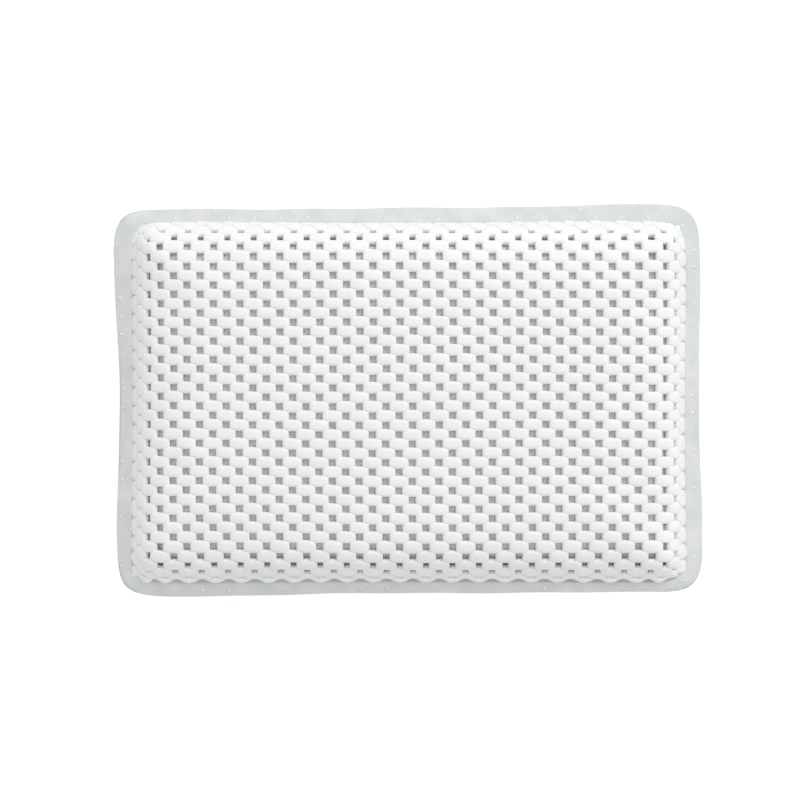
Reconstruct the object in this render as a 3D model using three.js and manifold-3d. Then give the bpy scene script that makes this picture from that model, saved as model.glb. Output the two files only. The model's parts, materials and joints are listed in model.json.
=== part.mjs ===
// Bath pillow. An open foam mesh is drawn over a foam core, and its hem is
// pressed flat and welded to a vinyl back sheet. Suction cups hold the back to
// the bath: the neck of each snaps through an eyelet and can turn in it.
//
// Millimetres, +Z up, X along the pillow. The origin lies below the pillow's
// centre, on the plane of the suction cups' lips.

import * as THREE from 'three';
import { mergeGeometries, mergeVertices } from 'three/addons/utils/BufferGeometryUtils.js';
import Module from 'manifold-3d';

const wasm = await Module();
wasm.setup();

// Outline, seen from above
const pillowLength = 305;
const pillowWidth = 203;
const hemWidth = 9;
const hemShortDrawIn = 2.6;
const hemLongDrawIn = 0.6;
const cushionShortDrawIn = 0.6;
const cushionLongDrawIn = 0.4;
const cornerPower = 4;

// Cushion
const rollWidth = 22;
const rollHeight = 16;
const rollPower = 2;
const rollFall = 1.2;
const crownRise = 3;
const meshThickness = 4;
const hemThickness = 1.2;
const coreSlack = 0.4;

// Gaps of the mesh, in offset rows. Every third row of the real mesh is cut.
const gapLength = 3.6;
const gapWidth = 3.8;
const gapPitch = 13.63;
const gapRowPitch = 14.325;
const gapShiftX = 1.55;
const gapShiftY = -2.4;
const gapFootMargin = 7;
const gapWeb = 0.8;
const meshStretch = 1.05;

// Back sheet and its eyelets
const sheetThickness = 0.8;
const eyeletDiameter = 24;
const eyeletThickness = 1.2;

// Suction cups
const cupColumns = 3;
const cupRows = 2;
const cupEndMargin = 43.5;
const cupSideMargin = 40.5;
const lipDiameter = 40;
const lipFace = 2;
const lipThickness = 0.8;
const hollowDepth = 7;
const skirtThickness = 1.6;
const skirtFullness = 0.62;
const collarDiameter = 14;
const collarHeight = 1.9;
const neckDiameter = 7.4;
const headDiameter = 13;
const headRim = 1;
const headHeight = 3.2;

// Fits
const neckClearance = 0.4;
const seatGap = 0.3;
const pocketClearance = 0.6;

// Mesh fineness
const cornerSteps = 6;
const longSteps = 6;
const shortSteps = 4;
const roundSides = 24;
const curveSteps = 4;
const rollAngles = [0, 12, 26, 40, 54, 68, 80];
const sectionSteps = 90;
const crownShares = [0.5];
const weldDistance = 1e-4;

// Heights above the lips
const collarTop = hollowDepth + skirtThickness + collarHeight;
const eyeletBottom = collarTop + seatGap;
const sheetBottom = eyeletBottom + eyeletThickness;
const sheetTop = sheetBottom + sheetThickness;
const hemTop = sheetTop + hemThickness;
const headBottom = sheetTop + seatGap;
const headTop = headBottom + headHeight;

// Half sizes in plan: the whole pillow, the cushion's foot and its flat middle
const halfLength = pillowLength / 2;
const halfWidth = pillowWidth / 2;
const footX = halfLength - hemWidth;
const footY = halfWidth - hemWidth;
const middleX = footX - rollWidth;
const middleY = footY - rollWidth;

const eyeletBore = neckDiameter / 2 + neckClearance;

const materials = {
  mesh: new THREE.MeshStandardMaterial({ color: 0xf4f6f5, roughness: 0.6, metalness: 0 }),
  core: new THREE.MeshStandardMaterial({ color: 0xc9cccb, roughness: 0.95, metalness: 0 }),
  sheet: new THREE.MeshStandardMaterial({ color: 0xdde2e0, roughness: 0.35, metalness: 0 }),
  cup: new THREE.MeshStandardMaterial({ color: 0xdfe9e7, roughness: 0.15, metalness: 0 }),
};

// Plan outlines

// The sides are pulled in between the corners, the hem's edge more than the cushion.
function drawnIn({ x, y }, reach) {
  const { lerp } = THREE.MathUtils;
  const hemShare = Math.max(0, (reach - rollWidth) / hemWidth);
  const pull = (along, corner) => Math.max(0, 1 - (along / corner) ** 2) ** 2;
  const shortSide = lerp(cushionShortDrawIn, hemShortDrawIn, hemShare) * pull(y, middleY);
  const longSide = lerp(cushionLongDrawIn, hemLongDrawIn, hemShare) * pull(x, middleX);
  return new THREE.Vector2(x * (1 - shortSide / halfLength), y * (1 - longSide / halfWidth));
}

// The outline that lies a given reach outside the flat middle, counter-clockwise.
function planRing(reach) {
  const ring = [];
  const corners = [[1, 1], [-1, 1], [-1, -1], [1, -1]];
  corners.forEach(([signX, signY], turn) => {
    const centre = new THREE.Vector2(signX * middleX, signY * middleY);
    for (let step = 0; step <= cornerSteps; step++) {
      const angle = (turn + step / cornerSteps) * (Math.PI / 2);
      const bulge = (value) => Math.sign(value) * Math.abs(value) ** (2 / cornerPower);
      const out = new THREE.Vector2(bulge(Math.cos(angle)), bulge(Math.sin(angle)));
      ring.push(out.multiplyScalar(reach).add(centre));
    }
    const [nextX, nextY] = corners[(turn + 1) % corners.length];
    const outward = new THREE.Vector2(0, reach).rotateAround(new THREE.Vector2(), turn * (Math.PI / 2));
    const from = centre.clone().add(outward);
    const to = new THREE.Vector2(nextX * middleX, nextY * middleY).add(outward);
    const steps = turn % 2 === 0 ? longSteps : shortSteps;
    for (let step = 1; step < steps; step++) ring.push(from.clone().lerp(to, step / steps));
  });
  return ring.map((point) => drawnIn(point, reach));
}

function levelRing(reach, z) {
  return planRing(reach).map((point) => new THREE.Vector3(point.x, point.y, z));
}

// Surfaces

// A closed surface through rings of equal count, from one end point to the other.
function loft(startPoint, rings, endPoint) {
  const count = rings[0].length;
  const points = [startPoint, ...rings.flat(), endPoint];
  const last = points.length - 1;
  const at = (ring, step) => 1 + ring * count + (step % count);
  const index = [];
  for (let step = 0; step < count; step++) {
    index.push(0, at(0, step + 1), at(0, step));
    for (let ring = 0; ring + 1 < rings.length; ring++) {
      const corner = [at(ring, step), at(ring, step + 1), at(ring + 1, step + 1), at(ring + 1, step)];
      index.push(corner[0], corner[1], corner[2], corner[0], corner[2], corner[3]);
    }
    index.push(at(rings.length - 1, step), at(rings.length - 1, step + 1), last);
  }
  const geometry = new THREE.BufferGeometry().setFromPoints(points);
  geometry.setIndex(index);
  return geometry;
}

// Height of the crowned cushion at a plan point, for a share of its rise above the foot.
function cushionHeight(x, y, share, footZ, height) {
  const crown = crownRise * (1 - (x / footX) ** 2) * (1 - (y / footY) ** 2);
  return footZ + (height + crown) * share;
}

// Rings of the crowned cushion shape, from its foot up, with its outline drawn
// in by an inset; the rise above the foot is less by the same inset.
function domeRings(inset, footZ) {
  const reach = rollWidth - inset;
  const height = hemTop + rollHeight - inset - footZ;
  const rise = (x, y, share) => cushionHeight(x, y, share, footZ, height);
  const rings = rollAngles.map((degrees) => {
    const angle = THREE.MathUtils.degToRad(degrees);
    const share = Math.sin(angle) ** (2 / rollFall);
    const outline = planRing(reach * Math.cos(angle) ** (2 / rollPower));
    return outline.map((point) => new THREE.Vector3(point.x, point.y, rise(point.x, point.y, share)));
  });
  const innermost = rings.at(-1);
  crownShares.forEach((share) => {
    rings.push(innermost.map(({ x, y }) => new THREE.Vector3(x * share, y * share, rise(x * share, y * share, 1))));
  });
  return { rings, top: new THREE.Vector3(0, 0, rise(0, 0, 1)) };
}

// The roll's section from its top down: distance along it, reach and share of its rise.
function rollSection() {
  let along = 0;
  return Array.from({ length: sectionSteps + 1 }, (_, i) => {
    const angle = (Math.PI / 2) * (1 - i / sectionSteps);
    return { reach: rollWidth * Math.cos(angle) ** (2 / rollPower), share: Math.sin(angle) ** (2 / rollFall) };
  }).map((point, i, points) => {
    const before = points[Math.max(0, i - 1)];
    along += Math.hypot(point.reach - before.reach, rollHeight * (point.share - before.share));
    return { along, ...point };
  });
}

const section = rollSection();
const footAlong = section.at(-1).along;

// How far a point of the flat mesh lies down the section, once it is drawn over the cushion.
function downSection(u, v) {
  const over = [Math.max(0, Math.abs(u) - middleX), Math.max(0, Math.abs(v) - middleY)];
  return { over, flat: (over[0] ** cornerPower + over[1] ** cornerPower) ** (1 / cornerPower) };
}

// Where a point of the flat mesh comes to lie on the cushion.
function overCushion(u, v) {
  const { over, flat } = downSection(u, v);
  const down = Math.min(flat * meshStretch, footAlong);
  const next = Math.max(1, section.findIndex(({ along }) => along >= down));
  const [from, to] = [section[next - 1], section[next]];
  const part = (down - from.along) / (to.along - from.along);
  const reach = THREE.MathUtils.lerp(from.reach, to.reach, part);
  const share = THREE.MathUtils.lerp(from.share, to.share, part);
  const spread = flat > 0 ? reach / flat : 1;
  const x = Math.sign(u) * (Math.min(Math.abs(u), middleX) + over[0] * spread);
  const y = Math.sign(v) * (Math.min(Math.abs(v), middleY) + over[1] * spread);
  const plan = drawnIn({ x, y }, reach);
  return new THREE.Vector3(plan.x, plan.y, cushionHeight(plan.x, plan.y, share, hemTop, rollHeight));
}

function toSolid(geometry) {
  const bare = geometry.clone();
  bare.deleteAttribute('normal');
  bare.deleteAttribute('uv');
  const merged = mergeVertices(bare, weldDistance);
  return new wasm.Manifold(new wasm.Mesh({
    numProp: 3,
    vertProperties: merged.getAttribute('position').array,
    triVerts: new Uint32Array(merged.index.array),
  }));
}

function toGeometry(solid) {
  const { vertProperties, triVerts } = solid.getMesh();
  const geometry = new THREE.BufferGeometry();
  geometry.setAttribute('position', new THREE.BufferAttribute(vertProperties, 3));
  geometry.setIndex(new THREE.BufferAttribute(triVerts, 1));
  return geometry;
}

// Where the suction cups sit, in rows along the back
function cupPlaces() {
  const spread = (count, reach) => {
    if (count === 1) return [0];
    return Array.from({ length: count }, (_, i) => reach * ((2 * i) / (count - 1) - 1));
  };
  const columns = spread(cupColumns, footX - cupEndMargin);
  const rows = spread(cupRows, footY - cupSideMargin);
  return rows.flatMap((y) => columns.map((x) => new THREE.Vector2(x, y)));
}

function circle(radius, x = 0, y = 0) {
  return new THREE.Path().absarc(x, y, radius, 0, 2 * Math.PI);
}

function extrudeFrom(shape, z, thickness) {
  const geometry = new THREE.ExtrudeGeometry(shape, {
    depth: thickness,
    bevelEnabled: false,
    curveSegments: roundSides / 2,
  });
  return geometry.translate(0, 0, z);
}

// Pieces

// Places on the flat mesh where it is open, clear of the foot.
function gapPlaces() {
  const columns = Math.ceil(footX / gapPitch) + 1;
  const rows = Math.ceil(footY / gapRowPitch) + 1;
  const inside = (footAlong - gapFootMargin) / meshStretch;
  const places = [];
  for (let row = -rows; row <= rows; row++) {
    for (let column = -columns; column <= columns; column++) {
      const u = gapShiftX + gapPitch * (column + (row % 2 === 0 ? 0 : 0.5));
      const v = gapShiftY + gapRowPitch * row;
      if (downSection(u, v).flat < inside) places.push({ u, v });
    }
  }
  return places;
}

// A block that cuts a gap into the mesh, square to the cushion, down to a thin web.
function gapBlock({ u, v }) {
  const step = 0.5;
  const along = overCushion(u + step, v).sub(overCushion(u - step, v)).normalize();
  const across = overCushion(u, v + step).sub(overCushion(u, v - step));
  const outward = along.clone().cross(across).normalize();
  const block = new THREE.BoxGeometry(gapLength, gapWidth, 2 * (meshThickness - gapWeb));
  const turn = new THREE.Matrix4().makeBasis(along, outward.clone().cross(along), outward);
  return block.applyMatrix4(turn.setPosition(overCushion(u, v)));
}

// The foam mesh: a crowned shell, open below, with its edge pressed into a hem.
function meshCover() {
  const outer = domeRings(0, hemTop);
  const inner = domeRings(meshThickness, sheetTop);
  const hemReach = rollWidth + hemWidth;
  const rings = [
    ...inner.rings.toReversed(),
    levelRing(hemReach, sheetTop),
    levelRing(hemReach, hemTop),
    ...outer.rings,
  ];
  const shell = toSolid(loft(inner.top, rings, outer.top));
  return toGeometry(shell.subtract(toSolid(mergeGeometries(gapPlaces().map(gapBlock)))));
}

// The foam core, with a pocket over each suction cup's head.
function foamCore(places) {
  const dome = domeRings(meshThickness + coreSlack, sheetTop);
  let solid = toSolid(loft(new THREE.Vector3(0, 0, sheetTop), dome.rings, dome.top));
  const pocketRadius = headDiameter / 2 + pocketClearance;
  const pocketHeight = 2 * (headTop + pocketClearance - sheetTop);
  places.forEach(({ x, y }) => {
    const pocket = new THREE.CylinderGeometry(pocketRadius, pocketRadius, pocketHeight, roundSides);
    solid = solid.subtract(toSolid(pocket.rotateX(Math.PI / 2).translate(x, y, sheetTop)));
  });
  return toGeometry(solid);
}

// The vinyl back sheet, cut to the hem's outline and holed for the necks.
function backSheet(places) {
  const shape = new THREE.Shape(planRing(rollWidth + hemWidth));
  shape.holes = places.map(({ x, y }) => circle(eyeletBore, x, y));
  return extrudeFrom(shape, sheetBottom, sheetThickness);
}

// A vinyl ring welded under the sheet, which stiffens the hole.
function eyelet() {
  const shape = new THREE.Shape().absarc(0, 0, eyeletDiameter / 2, 0, 2 * Math.PI);
  shape.holes = [circle(eyeletBore)];
  return extrudeFrom(shape, eyeletBottom, eyeletThickness);
}

// One moulding: hollow skirt with a flat lip, collar, neck and mushroom head.
function suctionCup() {
  const point = (r, z) => new THREE.Vector2(r, z);
  const curve = (from, control, to) => new THREE.QuadraticBezierCurve(from, control, to).getPoints(curveSteps);
  const lipRadius = lipDiameter / 2;
  const hollowRadius = lipRadius - lipFace;
  const collarRadius = collarDiameter / 2;
  const neckRadius = neckDiameter / 2;
  const headRadius = headDiameter / 2;
  const skirtTop = hollowDepth + skirtThickness;
  const fullest = skirtFullness * hollowRadius;
  const profile = [
    ...curve(point(0, hollowDepth), point(fullest, hollowDepth), point(hollowRadius, 0)),
    point(lipRadius, 0),
    ...curve(point(lipRadius, lipThickness), point(fullest + skirtThickness, skirtTop), point(collarRadius, skirtTop)),
    point(collarRadius, collarTop),
    point(neckRadius, collarTop),
    point(neckRadius, headBottom),
    point(headRadius, headBottom),
    ...curve(point(headRadius, headBottom + headRim), point(headRadius, headTop), point(0, headTop)),
  ];
  return new THREE.LatheGeometry(profile, roundSides).rotateX(Math.PI / 2);
}

// Assembly

const pillow = new THREE.Group();

function addPiece(name, geometry, material, place) {
  const mesh = new THREE.Mesh(geometry, material);
  mesh.name = name;
  if (place) mesh.position.set(place.x, place.y, 0);
  pillow.add(mesh);
}

const places = cupPlaces();
addPiece('mesh_cover', meshCover(), materials.mesh);
addPiece('foam_core', foamCore(places), materials.core);
addPiece('back_sheet', backSheet(places), materials.sheet);
places.forEach((place, i) => {
  addPiece(`eyelet_${i + 1}`, eyelet(), materials.sheet, place);
  addPiece(`suction_cup_${i + 1}`, suctionCup(), materials.cup, place);
});

export default pillow;
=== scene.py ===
# %% [markdown]
# # A bath pillow
# A bath pillow is a foam pad under an open net of foam nubs. The edge of the net is
# pressed flat and welded to a vinyl back sheet, and suction cups hold that sheet to the
# bath. The frame that is loaded here gives every size, place and joint. Each step after
# it makes one piece of what the eye sees, in metres, where the frame says it belongs.

# %% Load the frame
import json
import math

import bmesh
import bpy
import numpy as np
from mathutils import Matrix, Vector
from mathutils.geometry import delaunay_2d_cdt
from mathutils.kdtree import KDTree


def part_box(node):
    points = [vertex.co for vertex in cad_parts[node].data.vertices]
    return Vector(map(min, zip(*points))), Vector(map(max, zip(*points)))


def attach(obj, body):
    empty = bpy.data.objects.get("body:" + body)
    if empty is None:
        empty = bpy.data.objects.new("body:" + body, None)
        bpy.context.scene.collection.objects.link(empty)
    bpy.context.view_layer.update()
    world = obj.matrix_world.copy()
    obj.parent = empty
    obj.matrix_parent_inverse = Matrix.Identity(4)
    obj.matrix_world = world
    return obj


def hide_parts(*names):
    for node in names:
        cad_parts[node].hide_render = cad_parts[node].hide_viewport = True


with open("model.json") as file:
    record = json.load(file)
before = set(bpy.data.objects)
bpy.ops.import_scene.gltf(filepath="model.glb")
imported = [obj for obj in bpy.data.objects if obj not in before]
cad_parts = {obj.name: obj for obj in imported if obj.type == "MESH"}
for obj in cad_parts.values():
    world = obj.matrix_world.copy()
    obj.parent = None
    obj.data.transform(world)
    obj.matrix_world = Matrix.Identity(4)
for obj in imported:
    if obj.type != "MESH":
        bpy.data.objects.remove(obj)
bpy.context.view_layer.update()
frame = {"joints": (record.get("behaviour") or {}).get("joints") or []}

# %% [markdown]
# ## Sizes
# The outline and the heights are read from the frame, so the dressed pillow keeps the
# size of the measured one. The other values repeat how the cushion is built up: a flat
# middle, a roll round it that falls to the hem, and a low crown over the whole.

# %% Sizes of the pillow
MM = 0.001
cover_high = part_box("mesh_cover")[1]
sheet_low, sheet_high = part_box("back_sheet")
HALF_LENGTH = cover_high.x
HALF_WIDTH = cover_high.y
HEM_WIDTH = 9 * MM
HEM_THICKNESS = 1.2 * MM
SHEET_BOTTOM = sheet_low.z
SHEET_TOP = sheet_high.z
HEM_TOP = SHEET_TOP + HEM_THICKNESS
CROWN_RISE = 3 * MM
ROLL_WIDTH = 22 * MM
ROLL_HEIGHT = cover_high.z - CROWN_RISE - HEM_TOP
CORNER_POWER = 4
NET_THICKNESS = 4 * MM
FOOT_X = HALF_LENGTH - HEM_WIDTH
FOOT_Y = HALF_WIDTH - HEM_WIDTH
MIDDLE_X = FOOT_X - ROLL_WIDTH
MIDDLE_Y = FOOT_Y - ROLL_WIDTH
cup_places = [Vector(joint["pos_m"]) for joint in frame["joints"]]
print(f"pillow: {2 * HALF_LENGTH:.4f} by {2 * HALF_WIDTH:.4f} m, roll {ROLL_HEIGHT:.4f} m high")

# %% [markdown]
# ## The surface that the net is drawn over
# A flat net has to be laid over a rounded pad. A modifier could shrink it on, but that
# slides the nubs about. Here the section of the roll is measured along its curve, and a
# flat point keeps its distance along that curve, a little stretched. So the rows crowd
# together, seen from above, just where the pad falls away. A round shoulder goes over
# into a straight slope down to the weld, and there the net is gathered a little. Past
# the weld it runs out into the hem, which droops a little.

# %% The cushion's surface as a rule
FOOT_SLOPE = math.radians(56)
FOOT_HEIGHT = 0.6 * MM
FOOT_TURN = 0.8 * MM
LEFT_STRETCH = 1.10
RIGHT_STRETCH = 1.17
FRONT_STRETCH = 1.16
BACK_STRETCH = 1.19
GATHER = 26
FRONT_GATHER = 18
GATHER_START = 18 * MM
GATHER_LENGTH = 9.4 * MM
LONG_SIDE_REACH = 0.9 * MM
CUSHION_SHIFT = (0.3 * MM, -0.45 * MM)
HEM_LEFT_DRAW_IN = 2.4 * MM
HEM_RIGHT_DRAW_IN = 0.9 * MM
HEM_LONG_DRAW_IN = 0.6 * MM
CUSHION_SHORT_DRAW_IN = 0.6 * MM
CUSHION_LONG_DRAW_IN = 0.4 * MM
SHORT_EDGE_WANDER = 0.6 * MM
LONG_EDGE_WANDER = 1.6 * MM
HEM_TURN = 0.0096
HEM_DROOP = 2.8 * MM
DROOP_LEAN = (-0.5, -0.4)
DROOP_POWER = 1.3
SIDE_FADE = 6
WANDER_WAVES = [(0.6, 21 * MM, 1), (0.4, 8.3 * MM, 2.1)]


def bend(start, pull, end, steps):
    """Points on a curve from start to end, drawn towards a pull point."""
    t = np.linspace(0, 1, steps)[:, None]
    start, pull, end = (np.array(point) for point in (start, pull, end))
    return (1 - t) ** 2 * start + 2 * t * (1 - t) * pull + t ** 2 * end


def roll_section(steps=240):
    """The roll from its top outwards, as a table: distance along it, reach and share of its height."""
    shoulder = math.sqrt(ROLL_WIDTH ** 2 - (ROLL_HEIGHT / math.tan(FOOT_SLOPE)) ** 2)
    angle = np.linspace(math.pi / 2, 0.02, steps)
    side = np.column_stack([shoulder * np.cos(angle), ROLL_HEIGHT * np.sin(angle)])
    step = np.diff(side, axis=0)
    steep = np.argmax(np.arctan2(-step[:, 1], step[:, 0]) > FOOT_SLOPE)
    corner = np.array([ROLL_WIDTH, 0])
    foot = corner + [-FOOT_HEIGHT / math.tan(FOOT_SLOPE), FOOT_HEIGHT]
    side = np.concatenate([side[:steep], np.linspace(side[steep], foot, 16)])
    turn = bend(foot, corner, corner + [FOOT_TURN, 0], 10)[1:]
    section = np.concatenate([side, turn, [[ROLL_WIDTH + 2 * HEM_WIDTH, 0]]])
    along = np.concatenate([[0], np.cumsum(np.linalg.norm(np.diff(section, axis=0), axis=1))])
    return {"along": along, "reach": section[:, 0], "share": section[:, 1] / ROLL_HEIGHT,
            "foot": along[len(side) - 1]}


SECTION = roll_section()


def past_middle(u, v):
    """How far flat points lie past the flat middle: along X, along Y and both together."""
    over_x = np.maximum(np.abs(u) - MIDDLE_X, 0)
    over_y = np.maximum(np.abs(v) - MIDDLE_Y, 0)
    return over_x, over_y, (over_x ** CORNER_POWER + over_y ** CORNER_POWER) ** (1 / CORNER_POWER)


def down_section(u, v):
    """How far down the section flat points come to lie. Each side of the net has its own stretch."""
    over_x, _, along = past_middle(u, v)
    short_share = np.divide(over_x, along, out=np.zeros_like(along), where=along > 1e-9) ** CORNER_POWER
    short = np.where(u < 0, LEFT_STRETCH, RIGHT_STRETCH)
    long = np.where(v < 0, FRONT_STRETCH, BACK_STRETCH)
    late = np.clip(along - GATHER_START, 0, GATHER_LENGTH)
    past = np.maximum(along - GATHER_START - GATHER_LENGTH, 0)
    gather = GATHER + FRONT_GATHER * long_side_share(u, v, -1)
    return along * (long + (short - long) * short_share) - gather * (late ** 2 + 2 * GATHER_LENGTH * past)


def long_side_share(u, v, sign):
    """How much a flat point belongs to the back, for sign 1, or the front, for -1. Corners fade."""
    _, over_y, along = past_middle(u, v)
    toward = np.divide(over_y, along, out=np.zeros_like(along), where=along > 1e-9)
    return np.where(v * sign > 0, toward ** SIDE_FADE, 0)


def on_section(u, v, value):
    """A value of the section at flat points."""
    return np.interp(down_section(u, v), SECTION["along"], SECTION[value])


def past_foot(u, v):
    """How far flat points lie past the foot, along the section."""
    return down_section(u, v) - SECTION["foot"]


def hem_share(reach):
    """How far across the hem a reach lies, from 0 at the cushion to 1 at the edge."""
    return np.clip((reach - ROLL_WIDTH) / HEM_WIDTH, 0, 1)


def wander(along, phase):
    """A slow irregular wave, from -1 to 1, for an edge that was trimmed by hand."""
    return sum(share * np.sin(along / length + turns * phase) for share, length, turns in WANDER_WAVES)


def droop(x, y, hem):
    """How far the hem hangs below its plane, more at the front and left than at the other sides."""
    lean = DROOP_LEAN[0] * x / HALF_LENGTH + DROOP_LEAN[1] * y / HALF_WIDTH
    return HEM_DROOP * (1 + lean) * hem ** DROOP_POWER


def drawn_in(x, y, reach):
    """Pulls the sides in between the corners. The hem's edge also wanders, and was cut a little askew."""
    hem = hem_share(reach)
    short = np.where(x < 0, HEM_LEFT_DRAW_IN, HEM_RIGHT_DRAW_IN)
    short = CUSHION_SHORT_DRAW_IN + (short - CUSHION_SHORT_DRAW_IN) * hem
    long = CUSHION_LONG_DRAW_IN + (HEM_LONG_DRAW_IN - CUSHION_LONG_DRAW_IN) * hem
    pull_x = short * np.maximum(0, 1 - (y / MIDDLE_Y) ** 2) ** 2
    pull_y = long * np.maximum(0, 1 - (x / MIDDLE_X) ** 2) ** 2
    pull_x = pull_x + SHORT_EDGE_WANDER * hem * (1 + wander(y, 1 + np.sign(x))) / 2
    pull_y = pull_y + LONG_EDGE_WANDER * hem * (1 + wander(x, 4 + np.sign(y)) / 2) / 2
    x, y = x * (1 - pull_x / HALF_LENGTH), y * (1 - pull_y / HALF_WIDTH)
    x, y = x + CUSHION_SHIFT[0] * (1 - hem), y + CUSHION_SHIFT[1] * (1 - hem)
    return x - HEM_TURN * hem * y, y + HEM_TURN * hem * x


def placed(u, v, over_x, over_y, spread):
    """Plan places of flat points, with their distance past the flat middle scaled."""
    x = np.sign(u) * (np.minimum(np.abs(u), MIDDLE_X) + over_x * spread)
    y = np.sign(v) * (np.minimum(np.abs(v), MIDDLE_Y) + over_y * spread)
    return x, y


def over_cushion(u, v):
    """Where flat points of the net come to lie on the cushion."""
    over_x, over_y, along = past_middle(u, v)
    reach = on_section(u, v, "reach")
    long_side = long_side_share(u, v, 1) + long_side_share(u, v, -1)
    reach = reach + LONG_SIDE_REACH * long_side * np.minimum(reach / ROLL_WIDTH, 1) ** 2
    share = on_section(u, v, "share")
    spread = np.divide(reach, along, out=np.ones_like(along), where=along > 1e-9)
    x, y = placed(u, v, over_x, over_y, spread)
    crown = CROWN_RISE * np.maximum(0, 1 - (x / FOOT_X) ** 2) * np.maximum(0, 1 - (y / FOOT_Y) ** 2)
    z = HEM_TOP + (ROLL_HEIGHT + crown) * share - droop(x, y, hem_share(reach))
    x, y = drawn_in(x, y, reach)
    return np.stack([x, y, z], axis=-1)


def wrapped(u, v, lift):
    """Flat points laid over the cushion, each lifted off it along the surface's normal."""
    step = 0.1 * MM
    across = over_cushion(u + step, v) - over_cushion(u - step, v)
    up = over_cushion(u, v + step) - over_cushion(u, v - step)
    normal = np.cross(across, up)
    normal /= np.linalg.norm(normal, axis=1, keepdims=True)
    return over_cushion(u, v) + normal * lift[:, None]


flat_reach = np.linspace(0, 2 * ROLL_WIDTH, 400)
NET_FOOT = np.interp(SECTION["foot"], down_section(MIDDLE_X + flat_reach, 0 * flat_reach), flat_reach)
print(f"{NET_FOOT / MM:.1f} mm of flat net covers the roll's section of {SECTION['foot'] / MM:.1f} mm")

# %% [markdown]
# ## Helpers for meshes and node trees
# Every piece ends as one mesh object at the origin, with its place in its vertices, so a
# few helpers serve them all: some make an object from points and faces or join rings
# of points into a skin, and others add a node with all its links or start a node group.

# %% Helpers


def add_object(name, points, faces):
    """A mesh object of these points and faces, shaded smooth."""
    mesh = bpy.data.meshes.new(name)
    mesh.from_pydata([tuple(point) for point in points], [], [list(face) for face in faces])
    mesh.polygons.foreach_set("use_smooth", [True] * len(mesh.polygons))
    piece = bpy.data.objects.new(name, mesh)
    bpy.context.scene.collection.objects.link(piece)
    return piece


def vectors_of(items, name):
    """A vector that every item has, as an array."""
    flat = np.empty(3 * len(items))
    items.foreach_get(name, flat)
    return flat.reshape(-1, 3)


def get_points(mesh):
    """A mesh's vertices as an array."""
    return vectors_of(mesh.vertices, "co")


def set_points(mesh, points):
    """Moves a mesh's vertices."""
    mesh.vertices.foreach_set("co", np.ascontiguousarray(points).ravel())
    mesh.update()


def point_values(mesh, name):
    """A float attribute of a mesh's vertices as an array."""
    values = np.empty(len(mesh.vertices))
    mesh.attributes[name].data.foreach_get("value", values)
    return values


def smooth_step(value):
    """0 below 0, 1 above 1 and a soft rise between."""
    value = np.clip(value, 0, 1)
    return value ** 2 * (3 - 2 * value)


def ring_skin(rings, closed_section=False):
    """Points and quads of a skin over rings of equal count, each ring closed."""
    count = len(rings[0])
    points = np.concatenate(rings)
    faces = []
    last = len(rings) if closed_section else len(rings) - 1
    for row in range(last):
        low, high = row * count, (row + 1) % len(rings) * count
        for step in range(count):
            after = (step + 1) % count
            faces.append((low + step, low + after, high + after, high + step))
    return points, faces


def cushion_ring(reach, corner_steps=12, long_steps=48, short_steps=28):
    """The plan outline that lies a given reach outside the flat middle, counter-clockwise."""
    quarter = np.linspace(0, math.pi / 2, corner_steps + 1)
    ring = []
    for turn, (sign_x, sign_y) in enumerate([(1, 1), (-1, 1), (-1, -1), (1, -1)]):
        angle = quarter + turn * math.pi / 2
        bulge = np.stack([np.cos(angle), np.sin(angle)], axis=-1)
        bulge = np.sign(bulge) * np.abs(bulge) ** (2 / CORNER_POWER)
        corner = bulge * reach + [sign_x * MIDDLE_X, sign_y * MIDDLE_Y]
        ring.append(corner)
        side = (-2 * sign_x * MIDDLE_X, 0) if turn % 2 == 0 else (0, -2 * sign_y * MIDDLE_Y)
        steps = long_steps if turn % 2 == 0 else short_steps
        ring.append(corner[-1] + np.outer(np.arange(1, steps) / steps, side))
    plan = np.concatenate(ring)
    return np.stack(drawn_in(plan[:, 0], plan[:, 1], reach), axis=-1)


def circle(centre, radius, steps):
    """Points of a circle, counter-clockwise."""
    turn = np.arange(steps) * 2 * math.pi / steps
    return np.column_stack([np.cos(turn), np.sin(turn)]) * radius + [centre[0], centre[1]]


def away_from(place, plan):
    """How far plan points lie from a place, seen from above."""
    return np.hypot(plan[:, 0] - place.x, plan[:, 1] - place.y)


def at_height(plan, z):
    """Plan points lifted to a height, which may differ from point to point."""
    return np.column_stack([plan, np.broadcast_to(z, len(plan))])


def add_node(tree, kind, inputs=None, **settings):
    """A new node with these settings. Each input gets a value, or a link from another node's output."""
    node = tree.nodes.new(kind)
    for key, value in settings.items():
        setattr(node, key, value)
    for key, value in (inputs or {}).items():
        if isinstance(value, bpy.types.NodeSocket):
            tree.links.new(value, node.inputs[key])
        else:
            node.inputs[key].default_value = value
    return node


def new_group(name, kind, inputs, outputs):
    """An empty node group with named inputs and outputs, and the sockets that give its inputs."""
    group = bpy.data.node_groups.new(name, kind)
    for direction, sockets in (("INPUT", inputs), ("OUTPUT", outputs)):
        for socket, value_kind in sockets.items():
            group.interface.new_socket(socket, in_out=direction, socket_type=f"NodeSocket{value_kind}")
    return group, group.nodes.new("NodeGroupInput").outputs


def new_material(name):
    """A material with its node tree and its one Principled shader."""
    material = bpy.data.materials.new(name)
    material.use_nodes = True
    tree = material.node_tree
    return material, tree, next(node for node in tree.nodes if node.type == "BSDF_PRINCIPLED")


def apply_modifier(piece, modifier):
    """Keeps what a modifier makes as the piece's own mesh."""
    mesh = bpy.data.meshes.new_from_object(piece.evaluated_get(bpy.context.evaluated_depsgraph_get()))
    piece.modifiers.remove(modifier)
    piece.data = mesh


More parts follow.
